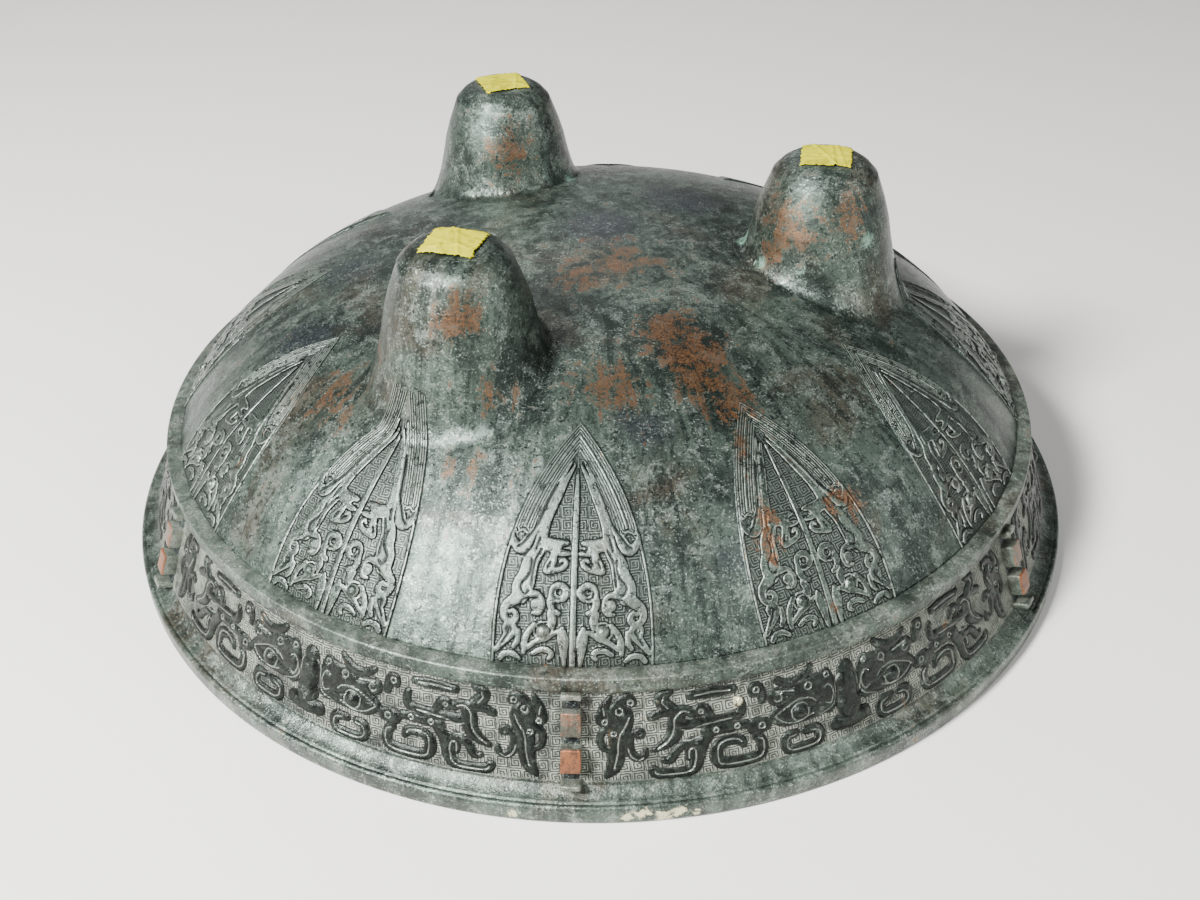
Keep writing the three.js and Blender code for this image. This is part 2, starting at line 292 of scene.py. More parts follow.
# Lays a colour over another where every mask holds. A mask is its driver, its start and its full value.
def layOver(tree, under, over, strength, *masks):
    amount = strength
    for driver, start, full in masks:
        inputs = {"Value": driver, "From Min": start, "From Max": full}
        held = addNode(tree, "MapRange", inputs, interpolation_type="SMOOTHSTEP")
        amount = addNode(tree, "Math", {0: amount, 1: held}, operation="MULTIPLY")
    over = fromHex(over) if isinstance(over, str) else over
    return addNode(tree, "Mix", {0: amount, 6: under, 7: over}, output=2, data_type="RGBA")


def startMaterial(name):
    material = bpy.data.materials.new(name)
    material.use_nodes = True
    material.node_tree.nodes.clear()
    return material, material.node_tree


bronzeLook = {
    "deep": "#1B231F",
    "body": "#47544B",
    "lighter": "#7D887F",
    "brown": "#54463A",
    "slate": "#2B2F34",
    "pit": "#0E1210",
    "mint": "#A9BBAE",
    "cream": "#CFC8A6",  # where the crust has chipped off the lip
    "verdigris": "#8FB5A1",
    "crust": "#8D9184",  # pale corrosion on the lip and in the frieze's ground
    "crustShade": "#454C43",
    "cuprite": "#38271C",
    "cupriteLight": "#6C4A2E",
    "copperWorn": "#7C4A2A",
    "copperDark": "#4B2F20",
    "figure": "#0B100D",
    "figureLight": "#29332C",
    # A pale tone for worn edges, hatch lines and the fill of cuts; the painted sheen on the first blade uses
    # the lighter tone.
    "rubbedAndSheen": "#8E978D",
    # Clouds of patina: millimetres across, detail, roughness, distortion.
    "clouds": {
        "mottle": (40, 6.0, 0.66, 0.5),
        "tint": (61, 4.0, 0.6, 0.6),
        "patch": (8.5, 7.0, 0.76, 0.5),
        "fleck": (2.7, 5.0, 0.75, 0.3),
        "speck": (0.9, 3.0, 0.75, 0.0),
        "grain": (0.5, 2.0, 0.6, 0.0),
    },
    "streakAcross": 7,  # mm across a streak that runs from crown to rim
    "streakAlong": 45,
    "streakFrom": 45,  # mm from the axis, where the first streaks show
    "streakFull": 130,
    "roughness": 0.3,
    "metallic": 0.68,
    "spiralCell": 5.2,  # mm from one square spiral of the ground to the next
    "spiralPitch": 1.05,  # mm from line to line in a spiral
    "spiralWobble": 1.2,  # mm, as the lines were cut by hand
    "crispness": 2.4,  # how sharply the figures' edges and cuts stand in the fine relief
    "bump": 0.28,  # mm
}


# Patinated cast bronze: dark green-grey, clouded, streaked and speckled, satin where it was handled.
# With carved set, ground and figures of the ornament take the tones that dirt and rubbing gave them, and the
# figures of the first blade a painted sheen.
def makeBronze(name, carved):
    look = bronzeLook
    material, tree = startMaterial(name)
    place = addNode(tree, "TexCoord", output="Object")
    cloud = {}
    for label, (size, detail, rough, distortion) in look["clouds"].items():
        inputs = {"Vector": place, "Scale": 1 / (size * metre), "Detail": detail}
        inputs.update({"Roughness": rough, "Distortion": distortion})
        cloud[label] = addNode(tree, "TexNoise", inputs)
    mottle, tint, patch, fleck, speck, grain = cloud.values()
    painted = {}
    labels = ["pale", "warm", "green", "slate", "chipped", "worn"]
    if carved:
        labels += ["inside", "incised", "bare", "rubbedAndSheen"]
    for label in labels:
        painted[label] = addNode(tree, "Attribute", output="Fac", attribute_name=label)

    # Streaks follow the way that water ran: narrow around the bowl, long from the crown outwards.
    flat = addNode(tree, "VectorMath", {0: place, 1: (1, 1, 0)}, operation="MULTIPLY")
    facing = addNode(tree, "VectorMath", {0: flat}, operation="NORMALIZE")
    radius = addNode(tree, "VectorMath", {0: flat}, output="Value", operation="LENGTH")
    reach = vessel["rimRadius"] * 0.7 / look["streakAcross"]
    run = addNode(tree, "Math", {0: radius, 1: 1 / (look["streakAlong"] * metre)}, operation="MULTIPLY")
    spread = addNode(tree, "VectorMath", {0: facing, "Scale": reach}, operation="SCALE")
    raised = addNode(tree, "CombineXYZ", {"Z": run})
    course = addNode(tree, "VectorMath", {0: spread, 1: raised}, operation="ADD")
    streak = addNode(tree, "TexNoise", {"Vector": course, "Scale": 1.0, "Detail": 5.0, "Roughness": 0.7})
    drawn = {"Value": radius, "From Min": look["streakFrom"] * metre, "From Max": look["streakFull"] * metre}
    drawn = addNode(tree, "MapRange", drawn)
    streak = addNode(tree, "Mix", {0: drawn, 2: patch, 3: streak}, data_type="FLOAT")

    colour = layOver(tree, fromHex(look["deep"]), look["body"], 1.0, (mottle, 0.34, 0.58))
    colour = layOver(tree, colour, look["brown"], 0.5, (tint, 0.5, 0.66))
    colour = layOver(tree, colour, look["deep"], 0.8, (streak, 0.53, 0.4))
    colour = layOver(tree, colour, look["lighter"], 0.6, (patch, 0.5, 0.66))
    colour = layOver(tree, colour, look["lighter"], 0.5, (streak, 0.54, 0.68), (fleck, 0.4, 0.56))
    colour = layOver(tree, colour, look["deep"], 0.8, (fleck, 0.49, 0.36))
    slate = addNode(tree, "Math", {0: streak, 1: 0.7, 2: painted["slate"]}, operation="MULTIPLY_ADD")
    colour = layOver(tree, colour, look["slate"], 0.85, (slate, 0.58, 0.82))
    crust = layOver(tree, fromHex(look["crust"]), look["crustShade"], 0.85, (patch, 0.58, 0.4))
    colour = layOver(tree, colour, crust, 0.95, (painted["pale"], 0.0, 1.0), (mottle, 0.3, 0.48))
    colour = layOver(tree, colour, look["pit"], 0.8, (speck, 0.43, 0.3))
    colour = layOver(tree, colour, look["mint"], 0.8, (speck, 0.54, 0.68), (patch, 0.36, 0.6))

    heights = addNode(tree, "Math", {0: grain, 1: 0.4, 2: speck}, operation="MULTIPLY_ADD")
    heights = addNode(tree, "Math", {0: fleck, 1: 0.6, 2: heights}, operation="MULTIPLY_ADD")
    chalk = painted["pale"]
    if carved:
        shown = (painted["bare"], 1.0, 0.0)
        figure, ground = (painted["inside"], -0.15, 0.25), (painted["inside"], 0.25, -0.15)
        free = {"Value": painted["inside"], "From Min": 0.25, "From Max": -0.15}
        chalk = addNode(tree, "Math", {0: chalk, 1: addNode(tree, "MapRange", free)}, operation="MULTIPLY")
        dirty = (painted["pale"], 0.3, 0.7)  # the frieze: pale ground and dark figures
        clean = (painted["pale"], 0.7, 0.3)  # the blades: dark ground and figures worn clean
        pattern = addNode(tree, "Attribute", output="Vector", attribute_name="pattern")
        parts = [addNode(tree, "SeparateXYZ", {0: pattern}, output=axis) for axis in range(3)]
        cell, wobble = [], look["spiralWobble"]
        for part, shake in zip(parts[:2], (fleck, patch)):
            part = addNode(tree, "Math", {0: shake, 1: wobble, 2: part}, operation="MULTIPLY_ADD")
            part = addNode(tree, "Math", {0: part, 1: look["spiralCell"]}, operation="FLOORED_MODULO")
            cell.append(addNode(tree, "Math", {0: part, 1: look["spiralCell"] / 2}, operation="SUBTRACT"))
        sizes = [addNode(tree, "Math", {0: part}, operation="ABSOLUTE") for part in cell]
        square = addNode(tree, "Math", {0: sizes[0], 1: sizes[1]}, operation="MAXIMUM")
        turn = addNode(tree, "Math", {0: cell[1], 1: cell[0]}, operation="ARCTAN2")
        coil = addNode(tree, "Math", {0: turn, 1: look["spiralPitch"] / (2 * math.pi), 2: square},
                       operation="MULTIPLY_ADD")
        wave = addNode(tree, "Math", {0: coil, 1: look["spiralPitch"] / 2}, operation="PINGPONG")
        line = (wave, look["spiralPitch"] * 0.3, look["spiralPitch"] * 0.14)
        lined = (parts[2], 0.0, 1.0)
        colour = layOver(tree, colour, look["deep"], 0.92, ground, shown, clean, (fleck, 0.3, 0.5))
        colour = layOver(tree, colour, look["pit"], 0.92, ground, shown, dirty, lined, line)
        colour = layOver(tree, colour, look["rubbedAndSheen"], 0.35, ground, shown, clean, lined,
                         (wave, look["spiralPitch"] * 0.24, look["spiralPitch"] * 0.46))
        dark = layOver(tree, fromHex(look["figure"]), look["figureLight"], 0.7, (fleck, 0.46, 0.62))
        dark = layOver(tree, dark, look["mint"], 0.35, (patch, 0.56, 0.68), (speck, 0.42, 0.6))
        dark = layOver(tree, dark, look["pit"], 0.6, (speck, 0.48, 0.34))
        colour = layOver(tree, colour, dark, 0.98, figure, shown, dirty)
        # Figures are painted lighter where a blade's value is high: on the first blade this is a painted
        # sheen, on the others a slight lightening by rubbing.
        bright, dull = (painted["rubbedAndSheen"], 0.2, 0.9), (painted["rubbedAndSheen"], 0.8, 0.3)
        colour = layOver(tree, colour, look["lighter"], 0.4, figure, shown, clean, bright,
                         (fleck, 0.34, 0.5))
        colour = layOver(tree, colour, look["figure"], 0.75, figure, shown, clean, dull, (patch, 0.5, 0.58))
        # A dark line in the groove just outside each figure's edge: painted shade where the groove lies in
        # shadow.
        grooveShade = addNode(tree, "Math", {0: painted["inside"], 1: -0.14, 2: 0.22}, operation="COMPARE")
        colour = layOver(tree, colour, look["pit"], 0.85, (grooveShade, 0.0, 1.0), shown)
        edge = addNode(tree, "Math", {0: painted["inside"], 1: 0.3, 2: 0.2}, operation="COMPARE")
        colour = layOver(tree, colour, look["rubbedAndSheen"], 0.8, (edge, 0.0, 1.0), shown, clean, dull,
                         (fleck, 0.38, 0.52))
        colour = layOver(tree, colour, look["rubbedAndSheen"], 0.8, (painted["incised"], 0.5, 0.1), shown, dirty)
        colour = layOver(tree, colour, look["pit"], 0.85, (painted["incised"], 0.6, 0.25), shown, clean)
        cut = layOver(tree, (0, 0, 0, 1), (1, 1, 1, 1), 1.0, ground, shown, lined, line)
        stood = layOver(tree, (0, 0, 0, 1), (1, 1, 1, 1), 1.0, (painted["inside"], -0.25, 0.15), shown)
        scored = layOver(tree, (0, 0, 0, 1), (1, 1, 1, 1), 1.0, (painted["incised"], 0.5, 0.15), shown)
        for mark, lift in ((cut, -1.5), (stood, look["crispness"]), (scored, -look["crispness"] / 2)):
            heights = addNode(tree, "Math", {0: mark, 1: lift, 2: heights}, operation="MULTIPLY_ADD")

    warmth = addNode(tree, "Math", {0: streak, 1: 1.9, 2: painted["warm"]}, operation="MULTIPLY_ADD")
    warmth = addNode(tree, "Math", {0: patch, 1: 1.9, 2: warmth}, operation="MULTIPLY_ADD")
    warmth = addNode(tree, "Math", {0: fleck, 1: 1.0, 2: warmth}, operation="MULTIPLY_ADD")
    rust = layOver(tree, fromHex(look["cuprite"]), look["cupriteLight"], 1.0, (speck, 0.36, 0.6))
    colour = layOver(tree, colour, rust, 0.9, (warmth, 2.8, 2.98), (speck, 0.34, 0.52))
    greenness = addNode(tree, "Math", {0: patch, 1: 0.8, 2: painted["green"]}, operation="MULTIPLY_ADD")
    greenness = addNode(tree, "Math", {0: speck, 1: 0.4, 2: greenness}, operation="MULTIPLY_ADD")
    colour = layOver(tree, colour, look["verdigris"], 0.85, (greenness, 0.94, 1.16))
    copper = layOver(tree, fromHex(look["copperDark"]), look["copperWorn"], 1.0, (fleck, 0.38, 0.56))
    worn = addNode(tree, "Math", {0: patch, 1: 0.7, 2: painted["worn"]}, operation="MULTIPLY_ADD")
    colour = layOver(tree, colour, copper, 0.95, (worn, 0.86, 1.02), (speck, 0.28, 0.4))
    chipped = addNode(tree, "Math", {0: patch, 1: 2.0, 2: painted["chipped"]}, operation="MULTIPLY_ADD")
    colour = layOver(tree, colour, look["cream"], 0.9, (chipped, 1.5, 1.62), (fleck, 0.34, 0.46))

    rough = addNode(tree, "Math", {0: fleck, 1: 0.4, 2: look["roughness"] - 0.2}, operation="MULTIPLY_ADD")
    rough = addNode(tree, "Math", {0: chalk, 1: 0.3, 2: rough}, operation="MULTIPLY_ADD")
    metal = addNode(tree, "Math", {0: chalk, 1: -0.4, 2: look["metallic"]}, operation="MULTIPLY_ADD")
    normal = addNode(tree, "Bump", {"Strength": 0.8, "Distance": look["bump"] * metre, "Height": heights})
    shader = addNode(tree, "BsdfPrincipled", {
        "Base Color": colour, "Roughness": rough, "Metallic": metal, "Normal": normal,
    })
    addNode(tree, "OutputMaterial", {"Surface": shader})
    return material


plainBronze = makeBronze("patinatedCastBronze", carved=False)
carvedBronze = makeBronze("patinatedCarvedBronze", carved=True)

tapeLook = {
    "yellow": "#A9A400",
    "shade": "#8C8700",
    "residue": "#C4C040",
    "thread": 0.35,
    "crease": 6,
    "roughness": 0.85,
}


# Yellow cloth tape: matt, finely woven, with soft creases where it was pressed down.
def makeTape():
    look = tapeLook
    material, tree = startMaterial("yellowClothTape")
    place = addNode(tree, "TexCoord", output="Object")
    folds = {"Vector": place, "Scale": 1 / (look["crease"] * metre), "Detail": 4.0, "Distortion": 1.0}
    crease = addNode(tree, "TexNoise", folds)
    thread = addNode(tree, "TexNoise", {"Vector": place, "Scale": 1 / (look["thread"] * metre)})
    colour = layOver(tree, fromHex(look["yellow"]), look["shade"], 0.8, (crease, 0.5, 0.36))
    colour = layOver(tree, colour, look["residue"], 0.5, (crease, 0.6, 0.68))
    normal = addNode(tree, "Bump", {"Strength": 0.4, "Distance": 0.2 * metre, "Height": thread})
    shader = addNode(tree, "BsdfPrincipled", {
        "Base Color": colour, "Roughness": look["roughness"], "Specular IOR Level": 0.2, "Normal": normal,
    })
    addNode(tree, "OutputMaterial", {"Surface": shader})
    return material


clothTape = makeTape()
print("materials made")

# The camera stands where the photo was taken. Its frame is 1200 by 900 pixels.
view = {
    "elevation": 36.146,
    "distance": 3.0632,  # in rim radii
    "focal": 1344.955,  # pixels
    "yaw": 0.0363,
    "pitch": 35.239,
    "roll": -0.757,
    "turned": 3.2324,  # the front flange stands this far round from the middle of the photo
    "frame": (1200, 900),
    "sensor": 36,
}


def cameraMatrix():
    elevation, yaw, pitch, roll = (math.radians(view[k]) for k in ("elevation", "yaw", "pitch", "roll"))
    away = view["distance"] * vessel["rimRadius"] * metre
    eye = Vector((0, -math.cos(elevation) * away, math.sin(elevation) * away))
    ahead = Vector((math.sin(yaw) * math.cos(pitch), math.cos(yaw) * math.cos(pitch), -math.sin(pitch)))
    right = ahead.cross(Vector((0, 0, 1))).normalized()
    up = right.cross(ahead)
    right, up = (
        math.cos(roll) * right + math.sin(roll) * up,
        math.cos(roll) * up - math.sin(roll) * right,
    )
    matrix = Matrix((right, up, -ahead)).transposed().to_4x4()
    matrix.translation = eye
    return Matrix.Rotation(math.radians(view["turned"]), 4, "Z") @ matrix


cameraData = bpy.data.cameras.new("camera")
cameraData.sensor_width = view["sensor"]
cameraData.lens = view["focal"] / view["frame"][0] * view["sensor"]
cameraData.clip_start = 0.01
camera = bpy.data.objects.new("camera", cameraData)
camera.matrix_world = cameraMatrix()
bpy.context.scene.collection.objects.link(camera)
bpy.context.scene.camera = camera


# Where the sight line through a pixel of the photo meets the bowl or a leg, in millimetres.
def seenAt(pixelX, pixelY):
    matrix = cameraMatrix()
    width, height = view["frame"]
    way = Vector((pixelX - width / 2, height / 2 - pixelY, -view["focal"])).normalized()
    way = np.array(matrix.to_3x3() @ way)
    eye = np.array(matrix.translation) / metre
    far = np.linspace(400, 1000, 2401)
    points = eye + far[:, None] * way
    under = points[:, 2] - surfaceHeight(points[:, 0], points[:, 1])
    inside = (under < 0) & (np.hypot(points[:, 0], points[:, 1]) < vessel["rimRadius"])
    return points[np.argmax(inside)]


# Patches of the patina: where the middle shows in the photo, radius in millimetres, strength.
patches = {
    "warm": [
        (672, 330, 15, 0.75), (690, 350, 18, 0.75), (702, 378, 18, 0.75), (722, 405, 16, 0.65),
        (620, 262, 20, 0.6), (580, 275, 15, 0.6), (650, 262, 14, 0.5), (615, 385, 20, 0.55),
        (632, 405, 9, 0.4), (465, 318, 12, 0.6), (445, 320, 8, 0.4), (500, 395, 14, 0.5),
        (790, 225, 19, 0.6), (775, 250, 11, 0.5), (852, 212, 12, 0.6), (855, 235, 8, 0.5),
        (515, 150, 14, 0.5), (500, 160, 11, 0.5), (335, 398, 19, 0.55), (318, 415, 11, 0.5),
        (380, 350, 9, 0.5), (775, 520, 11, 0.4), (845, 500, 12, 0.5), (740, 440, 7, 0.5),
        (770, 545, 8, 0.5), (880, 345, 11, 0.4), (470, 465, 14, 0.35), (655, 520, 9, 0.3),
    ],
    "green": [
        (745, 238, 7, 0.6), (760, 262, 6, 0.5), (548, 180, 8, 0.4), (570, 178, 7, 0.5),
        (805, 275, 6, 0.45), (590, 350, 14, 0.3), (665, 480, 12, 0.3), (500, 185, 8, 0.35),
        (868, 240, 7, 0.5), (310, 430, 7, 0.3), (410, 400, 6, 0.3),
    ],
    "slate": [
        (600, 225, 30, 0.5), (680, 200, 30, 0.5), (650, 430, 16, 0.45), (300, 350, 25, 0.5),
        (350, 270, 28, 0.4), (730, 560, 14, 0.4), (500, 90, 10, 0.3), (900, 400, 20, 0.2),
        (625, 420, 12, 0.4),
    ],
}
seenPatches = {}
for kind, spots in patches.items():
    seenPatches[kind] = [(seenAt(px, py), radius, strength) for px, py, radius, strength in spots]
# Chips in the crust: degrees round from the front, distance from the axis, height, radius, strength.
chips = {
    "lip": [
        (5.4, 229, 4, 4, 0.75), (7, 229, 5, 5, 0.8), (8.8, 229, 4, 5, 0.8), (10.6, 229, 5, 4.5, 0.75),
        (12.2, 229, 3, 4, 0.7), (-5.6, 229, 4, 3.5, 0.7),
    ],
    "frieze": [(17.4, 212, 41, 3, 0.8)],
}
seenPatches["chipped"] = []
for turn, reach, height, radius, strength in chips["lip"] + chips["frieze"]:
    turn = math.radians(turn)
    middle = np.array((reach * math.sin(turn), -reach * math.cos(turn), height))
    seenPatches["chipped"].append((middle, radius, strength))


def patinaAt(points):
    found = {}
    for kind, spots in seenPatches.items():
        amount = np.zeros(len(points))
        for middle, radius, strength in spots:
            away = np.linalg.norm(points - middle, axis=1) / radius
            amount = np.maximum(amount, strength * np.exp(-away ** 2))
        found[kind] = amount
    return found


# The plain body: inside, rim, lip and ridge, and a sunk bed under the carved skins.
def makeBody():
    v = vessel
    under = v["bodyUnder"]
    lip, top = friezeFoot, friezeTop
    stand = top.x + v["ridgeStand"]
    mouth = v["rimRadius"] - v["lipWidth"]
    inner = np.linspace(bowlEnd, 0, 26)
    innerR, innerZ, outR, outZ = bowlAt(inner)
    hollow = np.stack([innerR - v["wall"] * outR, innerZ - v["wall"] * outZ], -1)
    hollow[0, 0] = 0
    friezeIn = np.linspace(0.92, 0.05, 10)[:, None]
    bed = np.array([(lip.x, lip.y)]) + friezeIn * np.array([(-v["friezeLean"], v["friezeHeight"])])
    hollow = np.vstack([hollow, bed - (v["wall"], 0)])
    rim = [(mouth + 0.3, 6.5), (mouth, 5), (mouth, 1), (mouth + 0.3, 0.3), (mouth + 1, 0)]
    rim += [(mouth + 1 + k * (v["lipWidth"] - 2.2) / 8, 0) for k in range(1, 9)]
    edge = v["rimRadius"]
    rim += [(edge - 0.5, 0.25), (edge - 0.1, 0.9), (edge, 1.8), (edge, 3.5), (edge, 5.2), (edge, 6.8)]
    rim += [(edge - 0.12, 7.6), (edge - 0.5, 8.2)] + [(edge + x, z) for x, z in v["lipLine"]]
    for k in range(1, 9):  # the top of the lip climbs to the frieze in a shallow hollow
        t = k / 8
        rim.append((edge - 3 - t * (v["lipShelf"] - 4.1), 8.7 + (lip.y - 9.2) * (0.25 * t + 0.75 * t ** 2.2)))
    rim += [(lip.x + x, lip.y + z) for x, z in v["ledge"]]
    sunk = lip.x - under - 0.4
    rim += [(sunk, lip.y + 0.9)]
    for k in range(1, 7):
        rim.append((sunk - (sunk - top.x + under) * k / 6, lip.y + 0.9 + (top.y - lip.y - 1.4) * k / 6))
    rim += [(top.x + x, top.y + z) for x, z in v["ridge"]]
    out = np.linspace(1.5, bowlEnd, 22)
    outerR, outerZ, outR, outZ = bowlAt(out)
    outer = np.stack([outerR - under * outR, outerZ - under * outZ], -1)
    outer[-1, 0] = 0
    profile = np.vstack([hollow, rim, outer])
    azimuth = np.linspace(0, 2 * math.pi, v["bodySides"], endpoint=False)
    radius, height = profile[:, 0][:, None], profile[:, 1][:, None]
    points = np.stack([radius * np.sin(azimuth), -radius * np.cos(azimuth), height + 0 * azimuth], -1)
    numbers = np.arange(points.size // 3).reshape(points.shape[:2])
    numbers[0], numbers[-1] = numbers[0, 0], numbers[-1, 0]
    numbers = np.hstack([numbers, numbers[:, :1]])
    flat = points.reshape(-1, 3)
    plan = flat / np.maximum(np.linalg.norm(flat[:, :2], axis=1)[:, None], 1) * (1, 1, 0)
    inward = smoothStep(0.2, 2, flat[:, 2]) * (np.linalg.norm(flat[:, :2], axis=1) < v["rimRadius"] - 0.3)
    flat = flat + plan * (unevenness(flat) * inward)[:, None]
    used, faces = tidyNumbers(gridFaces(numbers), len(flat))
    values = patinaAt(flat[used])
    level = flat[used][:, 2]
    values["pale"] = v["lipPale"] * smoothStep(lip.y + 3, lip.y, level)
    onRidge = smoothStep(top.y - 1, top.y, level) * smoothStep(bowlFoot + 2, bowlFoot, level)
    onFace = smoothStep(top.y + 0.2, top.y + 1, level) * smoothStep(top.y + 6.9, top.y + 6.2, level)
    values["pale"] = np.maximum(values["pale"], v["ridgePale"] * onRidge * (1 - onFace))
    values["slate"] = np.maximum(values["slate"], v["ridgeSlate"] * onFace)
    return makePiece("body", flat[used], faces, values, plainBronze, "vessel")


# Leaves out the points that no face uses.
def tidyNumbers(faces, count):
    used = np.zeros(count, bool)
    used[[number for face in faces for number in face]] = True
    renamed = (np.cumsum(used) - 1).tolist()
    return used, [[renamed[number] for number in face] for face in faces]


body = makeBody()
print("body made")

# The frieze, drawn for half a panel: across from the nose to the flange, along from lip to ridge.
# Every figure is a line with its own width, as a carver cuts it into the mould.
frieze = {
    "step": 0.65,
    "broad": 1.14,
    "rise": 1.8,
    "edge": 0.8,  # the slope at a figure's edge
    "dome": 0.5,
    "pale": 1.0,
    "cut": 0.7,  # depth of an incised line
    "cutWidth": 0.5,
    "eyeRise": 2.9,
    "eyeRadius": 3.2,
    "noseRise": 1.3,
    "margin": 0.9,
    "under": 1.6,
}
friezeFigures = {
    "nose": [(0, 7.6, 6.4), (6.2, 7.8, 5.6)],
    "diamond": [(0, 10.5, 6), (0, 14, 9.4), (0, 17.4, 7.6), (0, 24, 8), (0, 30, 6)],
    "cheek": [(9, 17, 6), (9.4, 22, 7), (9.2, 27, 6.4), (9.2, 30.3, 4.2)],
    "brow": [(8, 16.6, 4.4), (18, 16.4, 5), (28, 17, 6), (33, 18.6, 3)],
    "underEye": [(12, 22.6, 8), (20, 23.4, 6.5), (28, 22, 5), (33, 19.4, 3)],
    "face": [(12, 27, 8), (19, 27, 6.4), (25, 25.6, 4.6), (31, 27, 6.4)],
    "jaw": [(15.5, 35.4, 2.4), (18, 33.2, 3.2), (22, 31.4, 3.4), (26.5, 31.6, 3.2), (30.5, 34, 2.4)],
    "horn": [(20, 9.4, 3), (15.6, 9, 3.6), (14.2, 5.6, 3.6), (16.4, 3, 3.6), (26, 2.9, 3.6),
             (28.9, 5.4, 3.6), (28, 9, 3.6), (24.6, 9.5, 3)],
    "ear": [(36.8, 16.8, 5), (40.4, 16.8, 6)],
    "earCurl": [(37, 27, 2.4), (37.6, 31.4, 3.6), (39.6, 32.8, 4.4), (40.6, 30.6, 2.6)],
    "square": [(40.6, 12.4, 2.6), (38.7, 10.4, 3.6), (38.8, 5.8, 4), (42, 4, 4.2), (53, 4, 4.2),
               (56.6, 6.4, 4.2), (56.2, 11, 4.2), (52.6, 13.3, 3.8), (47.2, 12.6, 3.4), (45.8, 10.4, 2.4)],
    "bar": [(44.6, 18.8, 3.2), (52, 18.9, 3.5), (60, 18.6, 3.8)],
    "crest": [(81, 5, 3.2), (78.6, 3.3, 3.8), (68.6, 3, 3.8), (65, 5, 4.2), (63.6, 9, 4.4),
              (62, 14, 4.6), (58.8, 17.8, 4)],
    "crestHook": [(65.6, 13, 2.6), (67.2, 11.6, 2.6), (67.4, 8.6, 1.8)],
    "backHook": [(76.8, 8.8, 2.2), (74.4, 8.6, 3), (72.8, 11, 3), (70.6, 13.4, 2.8), (66, 15.6, 2.8)],
    "back": [(80.2, 13.4, 1.8), (76.4, 15.4, 3.6), (72.6, 19, 5.2), (71.8, 24, 5.4), (70.4, 27.8, 4.6),
             (67.2, 28.6, 3.2), (65.2, 26.6, 2.4)],
    "foot": [(72.4, 29, 4), (76.2, 32.4, 4.6), (77.4, 35, 3.6), (73.6, 36.8, 2.4)],
    "paw": [(74, 28.4, 3), (77.4, 28.6, 3.2), (81, 27.2, 3)],
    "belly": [(70, 22.6, 4), (60, 22.8, 3.4), (48, 23.2, 3.4), (45.6, 25.6, 3.2), (46, 29, 2.6)],
    "curl": [(57.6, 24, 2.6), (60.4, 28.2, 3.6), (63.2, 28.2, 3), (62.8, 26.2, 2.2)],
    "lowerLip": [(48.6, 34.4, 3), (56, 34.6, 3.6), (65.6, 34.4, 3)],
    "hangingHorn": [(96.7, 36.4, 1.2), (98.6, 32.9, 2.8), (100, 29.4, 3.2), (100.4, 26.4, 3), (98.8, 25, 2.2),
                    (97.6, 26.3, 1.4)],
    "hangingNose": [(94.6, 33.6, 2), (92.1, 35.2, 3.2), (89.5, 35.2, 3.6), (88.4, 33.6, 3.2)],
    "hanging": [(95.6, 31, 4), (93.6, 29.4, 7.4), (91.6, 27.4, 6.6), (91.6, 22.8, 4.6), (92.7, 18, 3.2),
                (92.9, 13.6, 2.8), (93.6, 9.2, 2.8), (95.4, 5.4, 2.2), (98.6, 2.8, 1)],
    "hangingLeg": [(96, 27, 3), (95.8, 21.6, 3.2), (95.9, 16.8, 2.6), (96.4, 11.7, 2.4), (97.3, 6.6, 2.2),
                   (98.6, 3.5, 1.2)],
    "hangingCurl": [(97.4, 23.4, 2.4), (99.9, 21.8, 2.4), (100.7, 18.7, 2.4), (99.7, 15.5, 2.4),
                    (97.7, 14.2, 2)],
    "hook": [(86.2, 22, 1.8), (88.9, 19.9, 2.2), (89.7, 15.5, 2.8), (88.6, 11.9, 3), (86.3, 10.4, 2.8),
             (84, 11.4, 2.2), (83.4, 13.8, 1.3)],
    "hookRing": ring(85.7, 20.6, 1.4, 0, 360, 1.5),
}
